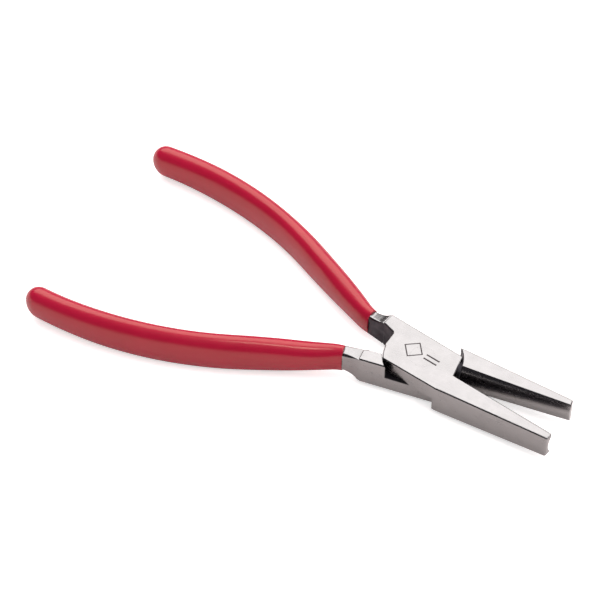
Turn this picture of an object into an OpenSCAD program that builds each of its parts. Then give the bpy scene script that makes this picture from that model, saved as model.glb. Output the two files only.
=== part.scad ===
// Lap-joint crimping pliers: two forged levers that cross at a flush rivet, one with a hollow jaw
// and one with a half-round jaw that nests in it, each with a dipped vinyl grip on its tang.
//
// The pivot axis is Z and passes through the origin. Z = 0 is the lower face of the joint and +X
// points to the jaw tips, half way between the levers. Each lever is drawn with the pliers closed,
// its jaw on the -Y side and its handle on the +Y side. The second lever is drawn the same way and
// then turned over about the X axis, so that its half-thickness cheek lies under the other one.

/* [Joint] */
// Thickness of the joint, shared by the two lapped cheeks
joint_t = 9.9; // [8:0.1:12]
// Half of the joint's width at its handle end
joint_half_w_handle = 7.9; // [7:0.05:8]
// Half of the joint's width at its jaw end
joint_half_w_jaw = 7.55; // [7:0.05:7.6]
// Distance from the pivot to the handle end of the shoulder block
block_end = 17; // [15:0.5:20]
// Inner edge of the shoulder block at its handle end
block_inner_y = 3.6; // [3:0.1:4.5]
// Radius of the shoulder wall that faces the pivot on the handle side
handle_shoulder_r = 11.7; // [11.4:0.1:12]
// Radius of the shoulder wall that faces the pivot on the jaw side
jaw_shoulder_r = 12; // [11.6:0.1:12.4]
// Gap between a cheek's end and the shoulder wall that it turns beside
shoulder_gap = 0.15; // [0.1:0.05:0.3]
// Gap between the two lapped faces
lap_gap = 0.04; // [0.02:0.01:0.1]

/* [Jaws] */
// Distance from the pivot to the bend in the jaw's outer face
jaw_bend_x = 10.3; // [9.5:0.1:11]
// Distance from the pivot to the jaw tips
tip_x = 45.5; // [38:0.5:55]
// Thickness of the jaws at their tips
tip_t = 8; // [5:0.1:8.8]
// How much lower the half-round jaw's tip sits than the hollow one's
round_tip_drop = 0.5; // [0:0.1:0.5]
// How far the outer face of a jaw is from the closing plane at its tip
tip_outer_y = 1.95; // [1.5:0.05:2.5]
// Radius of the groove along the hollow jaw
groove_r = 4.9; // [4.5:0.1:5.5]
// Depth of the groove along the hollow jaw
groove_depth = 1.6; // [1:0.1:1.7]
// How far the hollow jaw's edges reach past the closing plane at its tip
hollow_edge_tip_y = 0.65; // [0:0.05:0.65]
// Radius of the half-round face of the other jaw
half_round_r = 7; // [6:0.25:9]
// How far the crown of the half-round face reaches past the closing plane
crown_y = 1; // [0.6:0.05:1]

/* [Pivot] */
// Radius of the rivet's shank
rivet_r = 2.75; // [2:0.25:3.5]
// Radius of the rivet's countersunk heads at the joint's outer faces
rivet_head_r = 3.75; // [3.75:0.25:4.5]
// Depth of the rivet's countersunk heads
rivet_head_t = 1.2; // [0.8:0.1:2]
// Running clearance between the rivet and the lever that turns on it
rivet_gap = 0.04; // [0.02:0.01:0.08]

/* [Handles] */
// Thickness of the bare neck and of the tang inside the grip
tang_t = 7.6; // [7:0.1:8]
// Width of the neck and of the tang
tang_w = 3.9; // [3.5:0.1:4]
// Radius of the tang's long edges
tang_edge_r = 1.9; // [1.5:0.1:1.9]
// Distance from the centre plane to the neck's centre line
neck_y = 5.4; // [5.3:0.05:5.5]
// Distance from the pivot to the start of the grip
grip_start_x = 21.6; // [20:0.2:24]
// Angle at which a handle spreads from the closing plane
spread = 18; // [14:0.5:20]
// Radius of the bend between the neck and the spreading stretch
spread_bend_r = 15; // [10:1:20]
// Length of the straight spreading stretch
straight_len = 28.5; // [20:0.5:35]
// Radius of the palm curve that brings the handle back in
palm_r = 121.5; // [90:0.5:160]
// Length of the palm curve, up to the round end
palm_len = 62.1; // [50:0.1:70]

/* [Grips] */
// Half width of a grip at its mouth
grip_half_w_mouth = 2.45; // [2.45:0.05:3]
// Half width of a grip in the palm
grip_half_w_palm = 3.75; // [3:0.05:4.5]
// Half height of a grip at its mouth
grip_half_h_mouth = 4.2; // [4.2:0.05:4.6]
// Half height of a grip at its middle
grip_half_h_mid = 6.35; // [5:0.05:7]
// Half height of a grip where its round end starts
grip_half_h_end = 5.4; // [4.8:0.1:6]
// Length of a grip's round end
grip_cap_len = 5; // [3:0.5:7]
// Squareness of a grip's section, where 2 is an ellipse
grip_square = 2.4; // [2.3:0.1:4]

/* [Opening] */
// Angle between the levers at rest
rest_opening = 17; // [1:0.5:40]

/* [Hidden] */
$fn = 96;
mid_z = joint_t / 2;
cheek_t = mid_z - lap_gap / 2;
// A jaw's inner face meets the cheek here
jaw_root = [11.4, 0];
// The cheek's straight end on the handle side runs between these two corners
cheek_end_inner = [-12.3, 2.4];
cheek_end_outer = [-11.6, -3.2];
// Inner edge of the shoulder block at its curved wall
block_wall_y = 3.4;
// The cheek's straight end on the jaw side starts this far along the pliers
cheek_front_x = 9.2;
// Longer than any cut needs to be
far = 60;
// How deep one bar sinks into the next where they join, and how much thicker the curved bars are
overlap = 0.1;
bend_grow = 0.02;
// The tang stops this far before the start of the grip's round end
tang_short = 6;
// Room between the tang and the hollow around it
tang_fit = 0.05;
grip_rings = 36;
cap_rings = 7;
grip_sides = 28;

steel = [0.80, 0.78, 0.78];
rivet_steel = [0.70, 0.69, 0.69];
vinyl = [0.69, 0.09, 0.16];

// ---- Centre line of a handle, in four stretches: neck, spreading bend, straight, palm curve ----
bend_len = spread_bend_r * spread * PI / 180;
grip_len = bend_len + straight_len + palm_len;
mouth = [-grip_start_x, neck_y];
bend_centre = mouth + [0, spread_bend_r];
straight_start = bend_centre + spread_bend_r * [-sin(spread), -cos(spread)];
palm_start = straight_start + straight_len * [-cos(spread), sin(spread)];
palm_centre = palm_start - palm_r * [sin(spread), cos(spread)];

// Heading of the centre line above the -X direction, at a distance s from the grip's mouth
function heading(s) =
    s < bend_len ? s / spread_bend_r * 180 / PI
    : s < bend_len + straight_len ? spread
    : spread - (s - bend_len - straight_len) / palm_r * 180 / PI;

// Point of the centre line at a distance s from the grip's mouth
function centre(s) =
    s < bend_len ? bend_centre + spread_bend_r * [-sin(heading(s)), -cos(heading(s))]
    : s < bend_len + straight_len ? straight_start + (s - bend_len) * [-cos(spread), sin(spread)]
    : palm_centre + palm_r * [sin(heading(s)), cos(heading(s))];

// ---- Grip skin ----
// Half width grows quickly from the mouth and settles in the palm
function half_w(u) = grip_half_w_mouth + (grip_half_w_palm - grip_half_w_mouth) * (1 - (1 - u) ^ 4);

// Half height follows the parabola through its values at the mouth, the middle and the end
function half_h(u) =
    let (bow = 4 * grip_half_h_mid - 3 * grip_half_h_mouth - grip_half_h_end)
    let (sag = grip_half_h_end - grip_half_h_mouth - bow)
    grip_half_h_mouth + bow * u + sag * u ^ 2;

function signed_root(v) = sign(v) * abs(v) ^ (2 / grip_square);

// Place a ring of [across, up] points square to the centre line at s, moved on by ahead
function ring(points, s, ahead = 0) =
    let (c = centre(s), a = heading(s))
    [for (p = points)
        [c.x - ahead * cos(a) + p.x * sin(a), c.y + ahead * sin(a) + p.x * cos(a), mid_z + p.y]];

// Section of the skin at a distance s from the mouth, shrunk by k
function skin_section(s, k = 1) =
    let (u = s / grip_len)
    [for (i = [0:grip_sides - 1])
        let (t = i * 360 / grip_sides)
        [k * half_w(u) * signed_root(cos(t)), k * half_h(u) * signed_root(sin(t))]];

// Section of the hollow that the tang fills
hollow_section = [for (i = [0:grip_sides - 1])
    let (t = i * 360 / grip_sides, r = tang_edge_r + tang_fit)
    [sign(cos(t)) * (tang_w / 2 - tang_edge_r) + r * cos(t),
        sign(sin(t)) * (tang_t / 2 - tang_edge_r) + r * sin(t)]];

// A dipped grip as one skin: along its outside, round its end, and back along the hollow
module grip() {
    hollow_len = grip_len - tang_short + tang_fit;
    outside = [for (i = [0:grip_rings])
        let (s = grip_len * i / grip_rings)
        ring(skin_section(s), s)];
    round_end = [for (i = [1:cap_rings])
        let (t = 90 * i / (cap_rings + 0.5))
        ring(skin_section(grip_len, cos(t)), grip_len, grip_cap_len * sin(t))];
    hollow = [for (i = [0:grip_rings]) ring(hollow_section, hollow_len * i / grip_rings)];
    outer = concat(outside, round_end);
    rings = concat(outer, hollow);
    top = len(outer) - 1;
    last = len(rings) - 1;
    outer_sides = band(0, top, false);
    hollow_sides = band(top + 1, last, true);
    end_face = [[for (j = [0:grip_sides - 1]) top * grip_sides + j]];
    hollow_end = [[for (j = [grip_sides - 1:-1:0]) last * grip_sides + j]];
    mouth_face = [for (j = [0:grip_sides - 1])
        let (k = (j + 1) % grip_sides, inner = (top + 1) * grip_sides)
        each [[j, inner + j, inner + k], [j, inner + k, k]]];
    polyhedron(
        [for (r = rings) each r],
        concat(outer_sides, hollow_sides, end_face, hollow_end, mouth_face),
        convexity = 4
    );
}

// Triangles between the rings from first to last, turned inward for the hollow
function band(first, last, inward) =
    [for (i = [first:last - 1], j = [0:grip_sides - 1])
        let (a = i * grip_sides + j, b = i * grip_sides + (j + 1) % grip_sides, up = grip_sides)
        each inward
            ? [[a, b + up, b], [a, a + up, b + up]]
            : [[a, b, b + up], [a, b + up, a + up]]];

// ---- Tang ----
// Section of the tang, grown all round by grow
module tang_section(grow = 0) {
    inner = [tang_w / 2 - tang_edge_r, tang_t / 2 - tang_edge_r];
    for (x = [-1, 1], y = [-1, 1])
        translate([x * inner.x, y * inner.y]) circle(tang_edge_r + grow);
    square([tang_w + 2 * grow, 2 * inner.y], center = true);
    square([2 * inner.x, tang_t + 2 * grow], center = true);
}

// A straight bar of the tang's section from a point, heading a degrees above -X
module tang_bar(start, a, length) {
    translate([start.x, start.y, mid_z]) rotate([0, 0, -a]) rotate([90, 0, -90])
        linear_extrude(length) tang_section();
}

// A curved bar of radius r about a centre, from angle a through turn; it is a hair thicker than the
// straight bars and takes their ends in
module tang_bend(centre_point, r, a, turn) {
    translate([centre_point.x, centre_point.y, mid_z]) rotate([0, 0, a])
        rotate_extrude(angle = turn) translate([r, 0]) tang_section(bend_grow);
}

module tang() {
    lap_turn = overlap / palm_r * 180 / PI;
    palm_turn = (palm_len - tang_short) / palm_r * 180 / PI;
    tang_bar([-block_end + overlap, neck_y], 0, grip_start_x - block_end + 2 * overlap);
    tang_bend(bend_centre, spread_bend_r, 270 - spread, spread);
    tang_bar(straight_start - overlap * [-cos(spread), sin(spread)], spread, straight_len + overlap);
    tang_bend(palm_centre, palm_r, 90 - spread - lap_turn, palm_turn + lap_turn);
}

// ---- Joint and jaws, in plan ----
// Half width of the joint, tapering from its handle end to its jaw end
function joint_half_w(x) =
    joint_half_w_handle
    + (joint_half_w_jaw - joint_half_w_handle) * (x + block_end) / (block_end + jaw_bend_x);

// Shoulder block at the handle end, up to its curved wall
module block_plan() {
    difference() {
        polygon([
            [-block_end, block_inner_y],
            [-handle_shoulder_r, block_wall_y],
            [-handle_shoulder_r / 2, joint_half_w(-handle_shoulder_r / 2)],
            [-block_end, joint_half_w_handle]
        ]);
        circle(handle_shoulder_r);
    }
}

// Half-thickness cheek that crosses the pivot and joins the block to the jaw
module cheek_plan() {
    difference() {
        polygon([
            [-block_end, block_inner_y],
            [-block_end, joint_half_w_handle],
            [cheek_front_x, joint_half_w(cheek_front_x)],
            jaw_root,
            [jaw_shoulder_r, jaw_root.y],
            [jaw_shoulder_r, -jaw_outer_y(jaw_shoulder_r)],
            [jaw_bend_x, -joint_half_w_jaw],
            [-block_end, -joint_half_w_handle],
            cheek_end_outer,
            cheek_end_inner
        ]);
        // The corner that swings beside the other lever's shoulder block is round about the pivot
        difference() {
            translate([-far, -far]) square([far, far + cheek_end_outer.y]);
            circle(handle_shoulder_r - shoulder_gap);
        }
    }
}

// Distance of a jaw's outer face from the closing plane
function jaw_outer_y(x) =
    joint_half_w_jaw + (tip_outer_y - joint_half_w_jaw) * (x - jaw_bend_x) / (tip_x - jaw_bend_x);

// Jaw from its curved wall to the tip, with its inner face at root_y and then at tip_y
module jaw_plan(root_y, tip_y) {
    difference() {
        polygon([
            [0, -joint_half_w(0)],
            [jaw_bend_x, -joint_half_w_jaw],
            [tip_x, -tip_outer_y],
            [tip_x, tip_y],
            [jaw_root.x, root_y],
            [0, root_y]
        ]);
        circle(jaw_shoulder_r);
    }
}

// Side profile of a jaw, which thins evenly from the joint to the tip; the tip is raised by lift
module jaw_profile(lift) {
    rise = (joint_t - tip_t) / 2;
    translate([0, far / 2, 0]) rotate([90, 0, 0]) linear_extrude(far)
        polygon([
            [0, 0],
            [jaw_shoulder_r, 0],
            [tip_x, rise + lift],
            [tip_x, joint_t - rise + lift],
            [jaw_shoulder_r, joint_t],
            [0, joint_t]
        ]);
}

// A round bar along a jaw, its axis at a distance y from the closing plane, turned a degrees
module along_jaw(r, y, a) {
    translate([jaw_root.x, y, mid_z]) rotate([0, 0, a]) rotate([0, 90, 0]) cylinder(r = r, h = far);
}

module hollow_jaw() {
    groove_turn = atan((hollow_edge_tip_y - jaw_root.y) / (tip_x - jaw_root.x));
    difference() {
        union() {
            intersection() {
                linear_extrude(joint_t) jaw_plan(jaw_root.y, hollow_edge_tip_y);
                jaw_profile(0);
            }
            cheek();
        }
        along_jaw(groove_r, jaw_root.y + groove_r - groove_depth, groove_turn);
    }
}

module round_jaw() {
    intersection() {
        linear_extrude(joint_t) jaw_plan(crown_y, crown_y);
        jaw_profile(round_tip_drop);
        along_jaw(half_round_r, crown_y - half_round_r, 0);
    }
    cheek();
}

// The cheek as the upper of the two, above the lap
module cheek() {
    translate([0, 0, joint_t - cheek_t]) linear_extrude(cheek_t) cheek_plan();
}

module block_and_tang() {
    linear_extrude(joint_t) block_plan();
    tang();
}

// ---- Rivet ----
// The rivet's outline grown by gap: a shank, with a countersunk head at each end
module rivet_body(gap) {
    slope = (rivet_head_r - rivet_r) / rivet_head_t;
    rotate_extrude()
        polygon([
            [0, -gap],
            [rivet_head_r + gap * (1 + slope), -gap],
            [rivet_r + gap, rivet_head_t],
            [rivet_r + gap, joint_t - rivet_head_t],
            [rivet_head_r + gap * (1 + slope), joint_t + gap],
            [0, joint_t + gap]
        ]);
}

// ---- Placing the two levers ----
// The lever whose cheek is the upper one, opened by half of the rest opening
module upper_side() {
    rotate([0, 0, -rest_opening / 2]) children();
}

// The lever whose cheek is the lower one: the same way of drawing, turned over
module lower_side() {
    rotate([0, 0, rest_opening / 2]) translate([0, 0, joint_t]) rotate([180, 0, 0]) children();
}

// ---- Sub-parts ----
module hollow_jaw_lever() {
    color(steel) difference() {
        upper_side() {
            hollow_jaw();
            block_and_tang();
        }
        rivet_body(0);
    }
}

module round_jaw_lever() {
    color(steel) difference() {
        lower_side() {
            round_jaw();
            block_and_tang();
        }
        rivet_body(rivet_gap);
    }
}

module pivot_rivet() {
    color(rivet_steel) rivet_body(0);
}

module hollow_lever_grip() {
    color(vinyl) upper_side() grip();
}

module round_lever_grip() {
    color(vinyl) lower_side() grip();
}

hollow_jaw_lever();
round_jaw_lever();
pivot_rivet();
hollow_lever_grip();
round_lever_grip();
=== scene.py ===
import math

import bmesh
import bpy
from mathutils import Matrix, Vector


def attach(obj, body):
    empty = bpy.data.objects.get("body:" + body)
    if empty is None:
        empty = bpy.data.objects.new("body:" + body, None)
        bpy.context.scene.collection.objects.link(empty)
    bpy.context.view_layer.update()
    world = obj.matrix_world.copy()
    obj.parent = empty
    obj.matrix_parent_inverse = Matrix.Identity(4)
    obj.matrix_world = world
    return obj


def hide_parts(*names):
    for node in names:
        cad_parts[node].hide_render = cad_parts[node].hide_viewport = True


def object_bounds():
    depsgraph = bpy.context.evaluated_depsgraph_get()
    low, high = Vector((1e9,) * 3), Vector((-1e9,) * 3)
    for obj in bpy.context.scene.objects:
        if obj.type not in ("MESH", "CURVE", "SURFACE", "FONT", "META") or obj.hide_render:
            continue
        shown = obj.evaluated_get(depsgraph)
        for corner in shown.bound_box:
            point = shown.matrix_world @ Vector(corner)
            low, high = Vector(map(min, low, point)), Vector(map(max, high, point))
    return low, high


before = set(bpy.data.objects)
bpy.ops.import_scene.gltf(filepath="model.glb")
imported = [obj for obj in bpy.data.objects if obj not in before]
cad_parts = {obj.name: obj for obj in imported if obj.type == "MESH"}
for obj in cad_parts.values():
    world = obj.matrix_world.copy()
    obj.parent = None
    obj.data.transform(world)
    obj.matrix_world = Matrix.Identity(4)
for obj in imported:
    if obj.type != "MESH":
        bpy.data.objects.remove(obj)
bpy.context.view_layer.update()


floor_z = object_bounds()[0].z

# ---------------------------------------------------------------------------
# Sizes, in millimetres, in the drawing frame of a closed half: the pivot is the
# origin, the jaw is on the -Y side and the handle on the +Y side.
# ---------------------------------------------------------------------------
MM = 0.001
REST = math.radians(8.5)   # each lever is turned this far from closed

# Joint
JOINT_T = 9.9
MID = JOINT_T / 2
LAP_GAP = 0.04             # between the two lapped faces
HALF_W_HANDLE, HALF_W_JAW = 7.9, 7.55   # half widths at the two ends of the joint
JAW_BEND_X = 10.3          # the outer side turns towards the tip here
BLOCK_END = 17.0           # the shoulder block ends this far behind the pivot
BLOCK_INNER_Y = 3.6        # inner side of the block at its rear end
BLOCK_STEP = (-12.3, 2.4)
CHEEK_BACK = (-11.6, -2.9)
CHEEK_FRONT_X = 9.2
ROUND_TOP_Y, ROUND_END_X = -3.3, -8.83   # the cheek's round rear edge starts and ends here
HANDLE_SHOULDER_R, JAW_SHOULDER_R, SHOULDER_GAP = 11.7, 12.0, 0.15
BLOCK_WALL_Y = 3.4
LAP_CHAMFER = 0.16         # on the lower edges of the shoulders
RIVET_R, RIVET_HEAD_R, RIVET_HEAD_T, RIVET_GAP = 2.75, 3.75, 1.2, 0.04
RIVET_EDGE, RIVET_FIT = 0.012, 0.005   # the head's tiny chamfer, and the gap round the fixed rivet

# Jaws
TIP_X, TIP_T, TIP_OUTER = 45.5, 8.0, 1.95
JAW_ROOT_X = 11.4
THIN_X = 12.2              # the jaws start to thin here
ROUND_TIP_DROP = 0.5       # the half-round jaw's tip sits this much lower than the other one's
HOLLOW_EDGE_TIP = 0.65
GROOVE_R, GROOVE_DEPTH = 4.9, 1.6
GROOVE_HALF_H = 3.61       # half height of the groove's opening
HALF_ROUND_R, CROWN, CROWN_X = 7.0, 1.0, 12.03
EDGE_R = 0.55              # rounding of the long outer edges
CORNER_R, BEND_CORNER_R = 0.6, 0.8     # upright corners, and the one where the outer side bends
ROUND_SIDES = 96           # sides of the rivet and of the groove's bar

# Centre line of a handle: a bend out, a straight stretch and the palm's long bend back
NECK_Y, MOUTH_X = 5.4, -21.6
SPREAD, SPREAD_BEND_R, STRAIGHT, PALM_R, PALM = math.radians(18), 15.0, 28.5, 121.5, 62.1
BEND = SPREAD_BEND_R * SPREAD
GRIP_LEN = BEND + STRAIGHT + PALM

# Neck, from the block to the grip's mouth
BLOCK_NECK_Y, BLOCK_NECK_HALF_W, BLOCK_NECK_CORNER_R = 5.74, 2.14, 0.12   # where it leaves the block
NECK_ABOVE, NECK_BELOW = 3.5, 4.4      # its heights above and below the middle, at the mouth
RISE_ABOVE, RISE_BELOW = 0.65, 0.36    # how much more they are at the block
RAMP, RAMP_LEN = 0.5, 0.45             # extra rise of the top near the block, over this share of the neck
RELIEF, RELIEF_LEN = 0.26, 0.09        # shallow line between block and neck, and its share of the neck
NECK_CROWN = 0.17
NECK_CORNER_R = 0.8

# Tang, inside the grip
TANG_SHORT = 6.0           # the tang ends this far before the grip does
TANG_HALF_W, TANG_HALF_H, TANG_CORNER_R = 1.95, 3.7, 1.8
TANG_SETTLE = 8.0          # the neck's section turns into the tang's over this length
TANG_END, TANG_END_LEN = (1.6, 3.3, 1.45), 0.4   # its rounded end: half width, half height, corner

# Grip
MOUTH_BACK = 0.7           # the grip's lip lies this far along the centre line
MOUTH_SINK, SINK_LEN = 0.5, 14.0   # the mouth reaches lower than the rest of the grip, over this length
LIP = 0.22
SKIN_SIDES = 72
HOLLOW_SPARE, HOLLOW_LONGER = 0.03, 0.6   # room round the tang and past its end
OVAL_POWER = 2.12
HALF_WIDTHS = [2.48, 3.78, 3.68, 3.83, 3.88]
HALF_HEIGHTS = [4.2, 5.93, 6.43, 6.23, 5.5]
FLARE, FLARE_POWER = 0.25, 2.4     # the grip widens quickly over this share of its length
CAP = 5.0                  # length of the domed end


# ---------------------------------------------------------------------------
# Centre line of a handle
# ---------------------------------------------------------------------------
def centre_line(s):
    """Point and heading above -X, at a distance s along the centre line from the grip's mouth."""
    if s < BEND:
        a = max(s, 0.0) / SPREAD_BEND_R
        x = MOUTH_X - SPREAD_BEND_R * math.sin(a) - min(s, 0.0)
        return Vector((x, NECK_Y + SPREAD_BEND_R * (1 - math.cos(a)))), a
    start = Vector((MOUTH_X - SPREAD_BEND_R * math.sin(SPREAD),
                    NECK_Y + SPREAD_BEND_R * (1 - math.cos(SPREAD))))
    along = Vector((-math.cos(SPREAD), math.sin(SPREAD)))
    if s < BEND + STRAIGHT:
        return start + along * (s - BEND), SPREAD
    a = SPREAD - (s - BEND - STRAIGHT) / PALM_R
    middle = start + along * STRAIGHT - PALM_R * Vector((math.sin(SPREAD), math.cos(SPREAD)))
    return middle + PALM_R * Vector((math.sin(a), math.cos(a))), a


def oval(half_w, half_h, power, count):
    """Superellipse section as (across, up) points, anticlockwise."""
    out = []
    for i in range(count):
        t = 2 * math.pi * i / count
        c, s = math.cos(t), math.sin(t)
        out.append((half_w * math.copysign(abs(c) ** (2 / power), c),
                    half_h * math.copysign(abs(s) ** (2 / power), s)))
    return out


def rounded_box(half_w, half_h, r, steps=8):
    """Rectangular section with rounded corners as (across, up) points, anticlockwise."""
    out = []
    for k, (sx, sy) in enumerate(((1, 1), (-1, 1), (-1, -1), (1, -1))):
        for i in range(steps + 1):
            t = math.pi / 2 * (k + i / steps)
            out.append((sx * (half_w - r) + r * math.cos(t), sy * (half_h - r) + r * math.sin(t)))
    return out


def crowned(section, drop):
    """The section with its outer side lowered at top and bottom by up to drop times its height."""
    half_w = max(p for p, q in section)
    return [(p, q * (1 - drop * (max(0.0, p + half_w) / (2 * half_w)) ** 2.5)) for p, q in section]


def tang_section(s, spare=0.0, steps=8):
    """Section of the tang at s, grown by spare: crowned and set low at the mouth, plain further in."""
    k = min(1.0, s / TANG_SETTLE)
    mouth_half_h, mouth_low = (NECK_ABOVE + NECK_BELOW) / 2, (NECK_BELOW - NECK_ABOVE) / 2
    half_h = mouth_half_h + (TANG_HALF_H - mouth_half_h) * k
    corner_r = NECK_CORNER_R + (TANG_CORNER_R - NECK_CORNER_R) * k
    box = rounded_box(TANG_HALF_W + spare, half_h + spare, corner_r + spare, steps)
    return [(p, q - mouth_low * (1 - k)) for p, q in crowned(box, NECK_CROWN * (1 - k))]


def place_ring(section, s, ahead=0.0):
    """A section set square to the centre line at s and moved on by ahead."""
    c, a = centre_line(s)
    return [(c.x - ahead * math.cos(a) + p * math.sin(a),
             c.y + ahead * math.sin(a) + p * math.cos(a),
             MID + q) for p, q in section]


# ---------------------------------------------------------------------------
# Mesh building
# ---------------------------------------------------------------------------
def mesh_of(verts, faces):
    """A mesh with its many-sided ends split into triangles and its normals turned outward."""
    mesh = bpy.data.meshes.new("part")
    mesh.from_pydata([tuple(v) for v in verts], [], faces)
    bm = bmesh.new()
    bm.from_mesh(mesh)
    bmesh.ops.triangulate(bm, faces=[face for face in bm.faces if len(face.verts) > 4])
    bmesh.ops.recalc_face_normals(bm, faces=bm.faces)
    bm.to_mesh(mesh)
    bm.free()
    return mesh


def loft(rings):
    """A closed solid through rings of equal length, with a flat face at each end."""
    n = len(rings[0])
    verts = [v for ring in rings for v in ring]
    faces = [tuple(range(n)), tuple((len(rings) - 1) * n + j for j in reversed(range(n)))]
    for i in range(len(rings) - 1):
        for j in range(n):
            k = (j + 1) % n
            faces.append((i * n + j, i * n + k, (i + 1) * n + k, (i + 1) * n + j))
    return mesh_of(verts, faces)


def mitres(outline):
    """Outward mitre vector at each corner of an anticlockwise outline."""
    out = []
    for i, p in enumerate(outline):
        before = (p - outline[i - 1]).normalized()
        after = (outline[(i + 1) % len(outline)] - p).normalized()
        n1, n2 = Vector((before.y, -before.x)), Vector((after.y, -after.x))
        out.append((n1 + n2) / max(1 + n1.dot(n2), 0.2))
    return out


def stack(outline, levels):
    """A closed solid from one outline: levels are (height, outset) pairs from the bottom up."""
    outline = [Vector(p) for p in outline]
    m = mitres(outline)
    return loft([[(p.x + d.x * out, p.y + d.y * out, z) for p, d in zip(outline, m)] for z, out in levels])


def rounded_levels(z0, z1, r, steps=4):
    """Levels of a slab whose upper and lower edges are rounded to r."""
    quarter = [math.pi / 2 * i / steps for i in range(steps + 1)]
    low = [(z0 + r * (1 - math.cos(a)), -r * (1 - math.sin(a))) for a in quarter]
    high = [(z1 - (z - z0), out) for z, out in reversed(low)]
    return low + high


def arc(radius, start, end, step=2.0):
    """Points of an arc about the pivot, between two angles in degrees."""
    count = max(2, int(abs(end - start) / step) + 1)
    angles = [math.radians(start + (end - start) * i / (count - 1)) for i in range(count)]
    return [(radius * math.cos(a), radius * math.sin(a)) for a in angles]


def soften(outline, corners, steps=4):
    """The outline with the listed corners, {index: radius}, rounded off."""
    out = []
    for i, p in enumerate(outline):
        p = Vector(p)
        if i not in corners:
            out.append(p)
            continue
        a = (Vector(outline[i - 1]) - p).normalized()
        b = (Vector(outline[(i + 1) % len(outline)]) - p).normalized()
        half = a.angle(b) / 2
        middle = p + (a + b).normalized() * (corners[i] / math.sin(half))
        first = p + a * (corners[i] / math.tan(half)) - middle
        last = p + b * (corners[i] / math.tan(half)) - middle
        turn = math.atan2(first.x * last.y - first.y * last.x, first.dot(last))
        for k in range(steps + 1):
            out.append(middle + Matrix.Rotation(turn * k / steps, 2) @ first)
    return out


def boolean(base, tool, operation):
    """base with tool cut away (DIFFERENCE) or joined on (UNION)."""
    one, two = bpy.data.objects.new("one", base), bpy.data.objects.new("two", tool)
    for o in (one, two):
        bpy.context.scene.collection.objects.link(o)
    mod = one.modifiers.new("cut", "BOOLEAN")
    mod.operation, mod.object, mod.solver = operation, two, "EXACT"
    bpy.context.view_layer.update()
    made = bpy.data.meshes.new_from_object(one.evaluated_get(bpy.context.evaluated_depsgraph_get()))
    for o in (one, two):
        bpy.data.objects.remove(o)
    return made


def split_at(mesh, x):
    """The mesh with an edge loop added where it crosses x."""
    bm = bmesh.new()
    bm.from_mesh(mesh)
    bmesh.ops.bisect_plane(bm, geom=bm.verts[:] + bm.edges[:] + bm.faces[:], dist=1e-5,
                           plane_co=(x, 0, 0), plane_no=(1, 0, 0))
    bm.to_mesh(mesh)
    bm.free()
    return mesh


def thin_jaw(mesh, rise):
    """Thins the jaw evenly from the joint to the tip, whose middle is raised by rise."""
    for v in mesh.vertices:
        if v.co.x > THIN_X:
            t = (v.co.x - THIN_X) / (TIP_X - THIN_X)
            v.co.z = MID + rise * t + (v.co.z - MID) * (1 - (1 - TIP_T / JOINT_T) * t)
    return mesh


def joint_half_w(x):
    """Half width of the joint at x, a little less at the jaw end."""
    return HALF_W_HANDLE + (HALF_W_JAW - HALF_W_HANDLE) * (x + BLOCK_END) / (BLOCK_END + JAW_BEND_X)


# ---------------------------------------------------------------------------
# Levers
# ---------------------------------------------------------------------------
def lever_outline(jaw_inner):
    """Outline in plan of block, cheek and jaw, anticlockwise. jaw_inner is the jaw's inner edge from
    its tip to the root."""
    swing_r = HANDLE_SHOULDER_R - SHOULDER_GAP
    first = 180 + math.degrees(math.asin(-ROUND_TOP_Y / swing_r))
    last = 180 + math.degrees(math.asin(joint_half_w(ROUND_END_X) / swing_r))
    corners = [
        (CHEEK_FRONT_X, joint_half_w(CHEEK_FRONT_X)),
        (-BLOCK_END, HALF_W_HANDLE),
        (-BLOCK_END, BLOCK_INNER_Y),
        BLOCK_STEP,
        CHEEK_BACK,
    ]
    outline = corners + arc(swing_r, first, last)
    bend = len(outline)
    outline += [(JAW_BEND_X, -HALF_W_JAW), (TIP_X, -TIP_OUTER)] + jaw_inner + [(JAW_ROOT_X, 0)]
    radii = {i: CORNER_R for i in [*range(len(corners)), bend + 1, bend + 2]}
    radii[bend] = BEND_CORNER_R
    return soften(outline, radii)


def lap_cutter():
    """The space in the lower half that the other lever's cheek swings in, a little wider at the very
    bottom so that the shoulders' lower edges come out chamfered. Its straight sides lie clear of the
    lever."""
    wall = 180 - math.degrees(math.asin(BLOCK_WALL_Y / HANDLE_SHOULDER_R))
    outline = arc(HANDLE_SHOULDER_R, 120, wall)
    outline += [(-19, BLOCK_WALL_Y), (-19, -14), (6, -14)]
    outline += arc(JAW_SHOULDER_R, -58, 6)
    outline += [(11.9, 12)]
    levels = [(-2, LAP_CHAMFER), (0, LAP_CHAMFER), (LAP_CHAMFER, 0), (MID + LAP_GAP / 2, 0)]
    return stack(outline, levels)


def half_round_cutter():
    """Everything outside the half-round jaw's inner face."""
    reach, side, top, steps = 6.0, 8.0, 6.0, 40
    face = []
    for i in range(steps + 1):
        z = -reach + 2 * reach * i / steps
        face.append((z, CROWN - HALF_ROUND_R + math.sqrt(HALF_ROUND_R ** 2 - z * z)))
    profile = [(-side, top), (-side, face[0][1])] + face + [(side, face[-1][1]), (side, top)]
    return loft([[(x, y, MID + z) for z, y in profile] for x in (CROWN_X, TIP_X + 2)])


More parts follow.
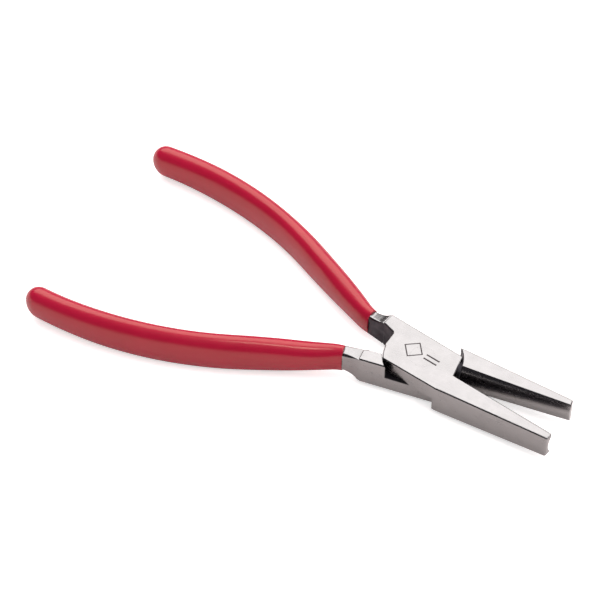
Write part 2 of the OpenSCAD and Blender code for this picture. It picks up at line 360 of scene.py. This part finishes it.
def groove_cutter():
    """The round bar that leaves the hollow jaw's groove."""
    turn = math.atan2(HOLLOW_EDGE_TIP, TIP_X - JAW_ROOT_X)
    c, s = math.cos(turn), math.sin(turn)
    rings = []
    for x in (-6.0, TIP_X):
        ring = []
        for i in range(ROUND_SIDES):
            t = 2 * math.pi * i / ROUND_SIDES
            out = GROOVE_R * math.sin(t)
            ring.append((JAW_ROOT_X + x * c - out * s,
                         GROOVE_R - GROOVE_DEPTH + x * s + out * c,
                         MID + GROOVE_R * math.cos(t)))
        rings.append(ring)
    return loft(rings)


def rivet_mesh(gap):
    """The rivet grown by gap: a shank with a countersunk head at each face of the joint."""
    if gap > 0:
        head_r = RIVET_HEAD_R + gap * (1 + (RIVET_HEAD_R - RIVET_R) / RIVET_HEAD_T)
        lower = [(-gap, head_r), (RIVET_HEAD_T, RIVET_R + gap)]
    else:
        lower = [(0.0, RIVET_HEAD_R - RIVET_EDGE), (RIVET_EDGE, RIVET_HEAD_R), (RIVET_HEAD_T, RIVET_R)]
    profile = lower + [(JOINT_T - z, r) for z, r in reversed(lower)]
    angles = [2 * math.pi * i / ROUND_SIDES for i in range(ROUND_SIDES)]
    return loft([[(r * math.cos(a), r * math.sin(a), z) for a in angles] for z, r in profile])


def handle_mesh():
    """Neck and tang as one bar: square to the block where it leaves it, oval by the grip's mouth."""
    rings = []
    neck_len = -MOUTH_X - BLOCK_END
    stations = [-0.12, 0.0, RELIEF_LEN / 2, RELIEF_LEN]
    stations += [RELIEF_LEN + (1 - RELIEF_LEN) * i / 14 for i in range(1, 15)]
    for u in stations:
        along = max(u, 0.0)
        w = 1 - (1 - along) ** 2
        relief = RELIEF * max(0.0, 1 - along / RELIEF_LEN)
        ramp = RAMP * max(0.0, 1 - along / RAMP_LEN) ** 2
        above = NECK_ABOVE + RISE_ABOVE * (1 - along) + ramp - relief
        below = NECK_BELOW + RISE_BELOW * (1 - along) - relief
        half_w = BLOCK_NECK_HALF_W + (TANG_HALF_W - BLOCK_NECK_HALF_W) * w
        corner_r = BLOCK_NECK_CORNER_R + (NECK_CORNER_R - BLOCK_NECK_CORNER_R) * w
        section = crowned(rounded_box(half_w, (above + below) / 2, corner_r), NECK_CROWN * w)
        x = -BLOCK_END - neck_len * u
        y = BLOCK_NECK_Y + (NECK_Y - BLOCK_NECK_Y) * w
        rings.append([(x, y + p, MID + q + (above - below) / 2) for p, q in section])
    tang_len = GRIP_LEN - TANG_SHORT
    steps = 60
    for i in range(1, steps + 1):
        s = tang_len * i / steps
        rings.append(place_ring(tang_section(s), s))
    rings.append(place_ring(rounded_box(*TANG_END), tang_len, TANG_END_LEN))
    return loft(rings)


def lever_mesh(hollow):
    """A whole lever: block, cheek, jaw, neck and tang as one solid."""
    inner = [(TIP_X, HOLLOW_EDGE_TIP)] if hollow else [(TIP_X, CROWN), (CROWN_X, CROWN), (CROWN_X, 0.0)]
    body = stack(lever_outline(inner), rounded_levels(0, JOINT_T, EDGE_R))
    body = thin_jaw(split_at(body, THIN_X), 0 if hollow else ROUND_TIP_DROP)
    body = boolean(body, lap_cutter(), "DIFFERENCE")
    body = boolean(body, groove_cutter() if hollow else half_round_cutter(), "DIFFERENCE")
    body = boolean(body, rivet_mesh(RIVET_FIT if hollow else RIVET_GAP), "DIFFERENCE")
    return boolean(body, handle_mesh(), "UNION")


# ---------------------------------------------------------------------------
# Grips
# ---------------------------------------------------------------------------
def spline(values, u):
    """Smooth value at u, from 0 to 1, through evenly spaced values."""
    n = len(values) - 1
    i = min(int(u * n), n - 1)
    t = u * n - i
    p = [values[max(i - 1, 0)], values[i], values[i + 1], values[min(i + 2, n)]]
    return (p[1] + (p[2] - p[0]) / 2 * t + (p[0] - 2.5 * p[1] + 2 * p[2] - p[3] / 2) * t ** 2
            + (1.5 * (p[1] - p[2]) + (p[3] - p[0]) / 2) * t ** 3)


def grip_mesh():
    """A dipped grip as one skin: along the hollow, over the lip at the mouth, along the outside and
    round the end."""
    rings = []
    hollow_len = GRIP_LEN - TANG_SHORT + HOLLOW_LONGER
    hollow_steps, lip_steps, skin_steps, cap_steps = 48, 4, 110, 14
    for i in range(hollow_steps, -1, -1):
        s = MOUTH_BACK + (hollow_len - MOUTH_BACK) * i / hollow_steps
        rings.append(place_ring(tang_section(s, HOLLOW_SPARE, SKIN_SIDES // 4 - 1), s))
    for i in range(lip_steps + 1):
        a = math.pi / 2 * i / lip_steps
        s = MOUTH_BACK + LIP * (1 - math.cos(a))
        rings.append(place_ring(skin_section(s, LIP * (1 - math.sin(a))), s))
    for i in range(1, skin_steps + 1):
        s = MOUTH_BACK + LIP + (GRIP_LEN - MOUTH_BACK - LIP) * (i / skin_steps) ** 1.3
        rings.append(place_ring(skin_section(s), s))
    base = skin_section(GRIP_LEN)
    for i in range(1, cap_steps + 1):
        a = math.pi / 2 * i / (cap_steps + 0.6)
        shrunk = [(p * math.cos(a), q * math.cos(a)) for p, q in base]
        rings.append(place_ring(shrunk, GRIP_LEN, CAP * math.sin(a)))
    return loft(rings)


def skin_section(s, cut=0.0):
    """Section of the grip's outside at s, with cut taken off all round."""
    u = s / GRIP_LEN
    half_w = spline(HALF_WIDTHS, u)
    if u < FLARE:
        half_w = HALF_WIDTHS[0] + (HALF_WIDTHS[1] - HALF_WIDTHS[0]) * (1 - (1 - u / FLARE) ** FLARE_POWER)
    half_h = spline(HALF_HEIGHTS, u)
    sink = MOUTH_SINK * max(0.0, 1 - s / SINK_LEN) ** 1.5
    return [(p, q - sink) for p, q in oval(half_w - cut, half_h + sink - cut, OVAL_POWER, SKIN_SIDES)]


# ---------------------------------------------------------------------------
# From the drawing frame to the row frame
# ---------------------------------------------------------------------------
UPPER = Matrix.Rotation(-REST, 4, "Z")
TURNED_OVER = Matrix.Translation((0, 0, JOINT_T)) @ Matrix.Rotation(math.pi, 4, "X")
LOWER = Matrix.Rotation(REST, 4, "Z") @ TURNED_OVER


def gets_painted_shade(face, hollow):
    """True for the faces that get painted shade for the joint's crevices: the lapped face, the shoulders'
    round walls, the inner side of block and neck, and the hollow jaw's groove."""
    c = face.calc_center_median()
    r = math.hypot(c.x, c.y)
    behind_cheek = MOUTH_X - 2.4 < c.x < -12     # from the grip's mouth to the block's inner step
    if behind_cheek and face.normal.y < -0.72:
        return True
    if hollow and c.x > JAW_SHOULDER_R and c.y > -GROOVE_DEPTH - 0.1 and face.normal.y > 0.6:
        return abs(c.z - MID) < GROOVE_HALF_H
    if abs(c.z - MID - LAP_GAP / 2) < 0.01 and abs(face.normal.z) > 0.9:
        return r < 15
    on_wall = abs(r - HANDLE_SHOULDER_R) < 0.06 or abs(r - JAW_SHOULDER_R) < 0.06
    return on_wall and c.z < MID and abs(face.normal.z) < 0.1


def finish_mesh(mesh, side, sharp_angle, dark):
    """Cleans a mesh, moves it to the row frame in metres and marks its sharp edges and the faces that get
    painted shade.
    """
    mesh.materials.clear()
    bm = bmesh.new()
    bm.from_mesh(mesh)
    bmesh.ops.remove_doubles(bm, verts=bm.verts, dist=2e-4)
    bmesh.ops.dissolve_degenerate(bm, dist=1e-4, edges=bm.edges)
    bmesh.ops.dissolve_limit(bm, angle_limit=math.radians(0.3), verts=bm.verts, edges=bm.edges)
    bmesh.ops.recalc_face_normals(bm, faces=bm.faces)
    for face in bm.faces:
        face.smooth = True
        # Faces in the joint's crevices get the steel with painted shade
        if dark and gets_painted_shade(face, dark == "hollow"):
            face.material_index = 1
    for edge in bm.edges:
        edge.smooth = not (len(edge.link_faces) == 2 and edge.calc_face_angle() > math.radians(sharp_angle))
    bm.to_mesh(mesh)
    bm.free()
    mesh.transform(Matrix.Scale(MM, 4) @ side)
    return mesh


def add_piece(name, mesh, side, body, node, material, sharp_angle=28.0, dark=""):
    """Makes a piece that stands for a CAD node; dark names the jaw of a lever whose crevice faces get
    painted shade.
    """
    obj = bpy.data.objects.new(name, finish_mesh(mesh, side, sharp_angle, dark))
    bpy.context.scene.collection.objects.link(obj)
    obj.data.materials.append(material)
    if dark:
        # Second slot: the steel with painted shade
        obj.data.materials.append(lap_shade_steel)
    weighted = obj.modifiers.new("weighted", "WEIGHTED_NORMAL")
    weighted.keep_sharp = True
    weighted.weight = 60
    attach(obj, body)
    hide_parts(node)
    return obj


# ---------------------------------------------------------------------------
# Materials
# ---------------------------------------------------------------------------
ETCH_COLOUR = (0.07, 0.06, 0.06)
# Painted shade: near-black steel for the faces in the joint's crevices, in two random tones
LAP_SHADE_LIGHT, LAP_SHADE_DARK = (0.078, 0.072, 0.080), (0.05, 0.046, 0.053)
STEEL_LIGHT, STEEL_DARK = (0.356, 0.339, 0.336), (0.332, 0.317, 0.314)
VINYL_LIGHT, VINYL_DARK = (0.48, 0.009, 0.042), (0.44, 0.008, 0.037)

# The etched mark, in millimetres from the pivot in the lever's own directions
MARK_Y, MARK_LINE = 0.6, 0.27
LOZENGE_X, LOZENGE_REACH = -3.6, 3.1
BAR_X, BAR_HALF_LEN, BAR_APART, BAR_LINE = 2.9, 2.3, 0.8, 0.26


def new_material(name):
    """An empty material with one Principled shader, as (material, node tree, shader)."""
    mat = bpy.data.materials.new(name)
    mat.use_nodes = True
    tree = mat.node_tree
    tree.nodes.clear()
    out = tree.nodes.new("ShaderNodeOutputMaterial")
    shader = tree.nodes.new("ShaderNodeBsdfPrincipled")
    tree.links.new(shader.outputs["BSDF"], out.inputs["Surface"])
    return mat, tree, shader


def noise(tree, scale, detail, squeeze=(1, 1, 1), turn=0.0):
    """Noise in the piece's own coordinates, scale per metre, squeezed along its axes."""
    where = tree.nodes.new("ShaderNodeTexCoord")
    mapping = tree.nodes.new("ShaderNodeMapping")
    mapping.inputs["Scale"].default_value = squeeze
    mapping.inputs["Rotation"].default_value = (0, 0, turn)
    tex = tree.nodes.new("ShaderNodeTexNoise")
    tex.inputs["Scale"].default_value = scale
    tex.inputs["Detail"].default_value = detail
    tree.links.new(where.outputs["Object"], mapping.inputs["Vector"])
    tree.links.new(mapping.outputs["Vector"], tex.inputs["Vector"])
    return tex.outputs["Fac"]


def ranged(tree, value, low, high, lo_in=0.3, hi_in=0.7):
    """value spread over low to high, from the middle range that a noise keeps to."""
    node = tree.nodes.new("ShaderNodeMapRange")
    node.inputs["From Min"].default_value = lo_in
    node.inputs["From Max"].default_value = hi_in
    node.inputs["To Min"].default_value = low
    node.inputs["To Max"].default_value = high
    tree.links.new(value, node.inputs["Value"])
    return node.outputs["Result"]


def blend_colour(tree, factor, first, second):
    """A blend of two colours by factor; the first may also be another node's output."""
    node = tree.nodes.new("ShaderNodeMix")
    node.data_type = "RGBA"
    tree.links.new(factor, node.inputs["Factor"])
    if isinstance(first, tuple):
        node.inputs["A"].default_value = (*first, 1)
    else:
        tree.links.new(first, node.inputs["A"])
    node.inputs["B"].default_value = (*second, 1)
    return node.outputs["Result"]


def bump(tree, shader, layers):
    """Chains bump layers of (height, distance in metres, strength) into the shader's normal."""
    normal = None
    for height, distance, strength in layers:
        node = tree.nodes.new("ShaderNodeBump")
        node.inputs["Distance"].default_value = distance
        node.inputs["Strength"].default_value = strength
        tree.links.new(height, node.inputs["Height"])
        if normal is not None:
            tree.links.new(normal, node.inputs["Normal"])
        normal = node.outputs["Normal"]
    tree.links.new(normal, shader.inputs["Normal"])


def lap_shade_material(name):
    """Machined steel of the faces inside the joint, duller than the outside; its near-black colour is
    painted shade for the joint's crevices.
    """
    mat, tree, shader = new_material(name)
    shader.inputs["Metallic"].default_value = 1.0
    patches = noise(tree, 420.0, 4.0)
    colour = blend_colour(tree, ranged(tree, patches, 0.0, 1.0), LAP_SHADE_LIGHT, LAP_SHADE_DARK)
    tree.links.new(colour, shader.inputs["Base Color"])
    tree.links.new(ranged(tree, patches, 0.38, 0.5), shader.inputs["Roughness"])
    bump(tree, shader, [(noise(tree, 1500.0, 3.0), 0.000006, 0.3)])
    return mat


def math_node(tree, operation, *values):
    """A maths node whose inputs are plain numbers or other nodes' outputs."""
    node = tree.nodes.new("ShaderNodeMath")
    node.operation = operation
    for socket, value in zip(node.inputs, values):
        if isinstance(value, (int, float)):
            socket.default_value = value
        else:
            tree.links.new(value, socket)
    return node.outputs[0]


def etched_mark(tree, turn):
    """Mask of a plain etched mark on the cheek's upper face: a small lozenge and two bars beside it."""
    where = tree.nodes.new("ShaderNodeTexCoord")
    mapping = tree.nodes.new("ShaderNodeMapping")
    mapping.inputs["Rotation"].default_value = (0, 0, turn)
    mapping.inputs["Scale"].default_value = (1000, 1000, 1000)
    tree.links.new(where.outputs["Object"], mapping.inputs["Vector"])
    split = tree.nodes.new("ShaderNodeSeparateXYZ")
    tree.links.new(mapping.outputs["Vector"], split.inputs["Vector"])
    x, y, z = (split.outputs[i] for i in range(3))
    from_lozenge = math_node(tree, "ABSOLUTE", math_node(tree, "SUBTRACT", x, LOZENGE_X))
    from_middle = math_node(tree, "ABSOLUTE", math_node(tree, "SUBTRACT", y, MARK_Y))
    reach = math_node(tree, "ADD", from_lozenge, from_middle)
    lozenge = math_node(tree, "COMPARE", reach, LOZENGE_REACH, MARK_LINE)
    bar_y = math_node(tree, "COMPARE", from_middle, BAR_APART, BAR_LINE)
    bar_x = math_node(tree, "COMPARE", x, BAR_X, BAR_HALF_LEN)
    bars = math_node(tree, "MULTIPLY", bar_y, bar_x)
    on_top = math_node(tree, "GREATER_THAN", z, JOINT_T - 0.05)
    return math_node(tree, "MULTIPLY", math_node(tree, "MAXIMUM", lozenge, bars), on_top)


def steel_material(name, turn, rough, marked=False):
    """Ground and satin-finished steel, its grain along the lever, with soft patches in its gloss."""
    mat, tree, shader = new_material(name)
    shader.inputs["Metallic"].default_value = 1.0
    grain = noise(tree, 1.0, 3.0, (140, 5200, 5200), turn)
    patches = noise(tree, 260.0, 4.0)
    colour = blend_colour(tree, ranged(tree, patches, 0.0, 1.0), STEEL_LIGHT, STEEL_DARK)
    gloss = math_node(tree, "ADD", ranged(tree, patches, rough - 0.03, rough + 0.03),
                      ranged(tree, grain, -0.025, 0.035))
    if marked:
        mark = etched_mark(tree, turn)
        colour = blend_colour(tree, mark, colour, ETCH_COLOUR)
        gloss = math_node(tree, "ADD", gloss, math_node(tree, "MULTIPLY", mark, 0.25))
    tree.links.new(colour, shader.inputs["Base Color"])
    tree.links.new(gloss, shader.inputs["Roughness"])
    bump(tree, shader, [(grain, 0.000003, 0.12), (noise(tree, 700.0, 2.0), 0.000004, 0.03)])
    return mat


def vinyl_material(name):
    """Glossy dipped vinyl: deep red, with the faint waviness that a dip leaves."""
    mat, tree, shader = new_material(name)
    patches = noise(tree, 90.0, 3.0)
    colour = blend_colour(tree, ranged(tree, patches, 0.0, 1.0), VINYL_LIGHT, VINYL_DARK)
    tree.links.new(colour, shader.inputs["Base Color"])
    tree.links.new(ranged(tree, noise(tree, 300.0, 3.0), 0.21, 0.27), shader.inputs["Roughness"])
    shader.inputs["IOR"].default_value = 1.54
    shader.inputs["Specular Tint"].default_value = (1.0, 1.0, 0.72, 1)
    bump(tree, shader, [(noise(tree, 90.0, 1.0), 0.0002, 0.06), (noise(tree, 1500.0, 2.0), 0.000005, 0.05)])
    return mat


steel_hollow = steel_material("ground_steel_hollow_side", REST, 0.24, marked=True)
steel_round = steel_material("ground_steel_round_side", -REST, 0.24)
steel_rivet = steel_material("rivet_steel", REST, 0.25, marked=True)
# Steel with painted shade, for the faces in the joint's crevices
lap_shade_steel = lap_shade_material("machined_steel_painted_shade")
vinyl = vinyl_material("dipped_vinyl_red")

# ---------------------------------------------------------------------------
# The pliers
# ---------------------------------------------------------------------------
add_piece("lever_hollow_jaw", lever_mesh(True), UPPER, "hollow_side", "hollow_jaw_lever",
          steel_hollow, dark="hollow")
add_piece("lever_round_jaw", lever_mesh(False), LOWER, "round_side", "round_jaw_lever",
          steel_round, dark="round")
add_piece("rivet", rivet_mesh(0), UPPER, "hollow_side", "pivot_rivet", steel_rivet)
add_piece("grip_hollow_lever", grip_mesh(), UPPER, "hollow_side", "hollow_lever_grip",
          vinyl, sharp_angle=60)
add_piece("grip_round_lever", grip_mesh(), LOWER, "round_side", "round_lever_grip",
          vinyl, sharp_angle=60)

# ---------------------------------------------------------------------------
# Camera at the photograph's viewing angle
# ---------------------------------------------------------------------------
CAMERA_AT = (0.185605, -0.389752, 0.50593)
FOCAL_LENGTH, SENSOR_WIDTH = 135.26, 36
yaw, pitch, roll = math.radians(120.204), math.radians(47.637), 0.00303
forward = Vector((math.cos(pitch) * math.cos(yaw), math.cos(pitch) * math.sin(yaw), -math.sin(pitch)))
right = Vector((math.sin(yaw), -math.cos(yaw), 0))
up = right.cross(forward)
right, up = right * math.cos(roll) + up * math.sin(roll), up * math.cos(roll) - right * math.sin(roll)
camera = bpy.data.objects.new("camera", bpy.data.cameras.new("camera"))
bpy.context.scene.collection.objects.link(camera)
turned = Matrix((right, up, -forward)).transposed().to_4x4()
camera.matrix_world = Matrix.Translation(CAMERA_AT) @ turned
camera.data.sensor_width = SENSOR_WIDTH
camera.data.lens = FOCAL_LENGTH
camera.data.clip_start = 0.01
bpy.context.scene.camera = camera

# ---------------------------------------------------------------------------
# Floor and light
# ---------------------------------------------------------------------------
FLOOR_HALF, FLOOR_BELOW = 3, 0.0001     # in metres; a hair below the pliers, so that nothing cuts into it
FLOOR_COLOUR = (0.86, 0.80, 0.79, 1)    # slightly warm, mirrored in the steel's upright faces
FLOOR_GLOW = 0.62                       # seen by the camera only, for a white background

corners = [(x * FLOOR_HALF, y * FLOOR_HALF, floor_z - FLOOR_BELOW)
           for x, y in ((-1, -1), (1, -1), (1, 1), (-1, 1))]
floor = bpy.data.objects.new("floor", mesh_of(corners, [(0, 1, 2, 3)]))
bpy.context.scene.collection.objects.link(floor)
floor_mat, floor_tree, floor_shader = new_material("pale_floor")
floor_shader.inputs["Base Color"].default_value = FLOOR_COLOUR
floor_shader.inputs["Roughness"].default_value = 0.9
floor_shader.inputs["Specular IOR Level"].default_value = 0.0
glow = floor_tree.nodes.new("ShaderNodeEmission")
glow.inputs["Color"].default_value = (1.0, 1.0, 1.0, 1)
glow.inputs["Strength"].default_value = FLOOR_GLOW
lit = floor_tree.nodes.new("ShaderNodeAddShader")
floor_tree.links.new(floor_shader.outputs["BSDF"], lit.inputs[0])
floor_tree.links.new(glow.outputs["Emission"], lit.inputs[1])
path = floor_tree.nodes.new("ShaderNodeLightPath")
pick = floor_tree.nodes.new("ShaderNodeMixShader")
floor_tree.links.new(path.outputs["Is Camera Ray"], pick.inputs["Fac"])
floor_tree.links.new(floor_shader.outputs["BSDF"], pick.inputs[1])
floor_tree.links.new(lit.outputs["Shader"], pick.inputs[2])
floor_tree.links.new(pick.outputs["Shader"], floor_tree.nodes["Material Output"].inputs["Surface"])
floor.data.materials.append(floor_mat)


def softbox(name, direction, distance, width, height, radiance, glossy=True, diffuse=True):
    """An area lamp of the given radiance that faces the pliers from direction. Distances are in metres.
    glossy and diffuse say whether it shows in reflections and whether it lights dull surfaces."""
    lamp = bpy.data.lights.new(name, "AREA")
    lamp.shape, lamp.size, lamp.size_y = "RECTANGLE", width, height
    lamp.energy = radiance * math.pi * width * height
    obj = bpy.data.objects.new(name, lamp)
    direction = Vector(direction).normalized()
    obj.location = direction * distance
    obj.rotation_mode = "QUATERNION"
    obj.rotation_quaternion = direction.to_track_quat("Z", "Y")
    obj.visible_glossy, obj.visible_diffuse = glossy, diffuse
    bpy.context.scene.collection.objects.link(obj)


# Mirrored in the flat tops, it makes them bright.
softbox("far_softbox", (-0.339, 0.583, 0.80), distance=1.1, width=1.9, height=0.95, radiance=2.55)
# Small and strong, for the highlights along the grips and the soft shadow.
softbox("top_lamp", (0.10, -0.12, 1.0), distance=1.1, width=0.26, height=0.26, radiance=6.9)
# For the tops as seen from other sides; the camera's view doesn't mirror it in them.
softbox("side_softbox", (0.663, 0.383, 0.643), distance=1.2, width=0.9, height=0.8, radiance=1.5,
        diffuse=False)
# Even light for the vinyl and the floor, kept out of the reflections.
softbox("wide_fill", (0.15, -0.1, 1.0), distance=1.6, width=2.4, height=2.4, radiance=1.56, glossy=False)

# The studio round the lamps is dark, which gives the polished edges their dark lines.
world = bpy.data.worlds.new("studio")
bpy.context.scene.world = world
world.use_nodes = True
world.node_tree.nodes["Background"].inputs["Color"].default_value = (0.040, 0.038, 0.045, 1)
bpy.context.scene.view_settings.view_transform = "Standard"
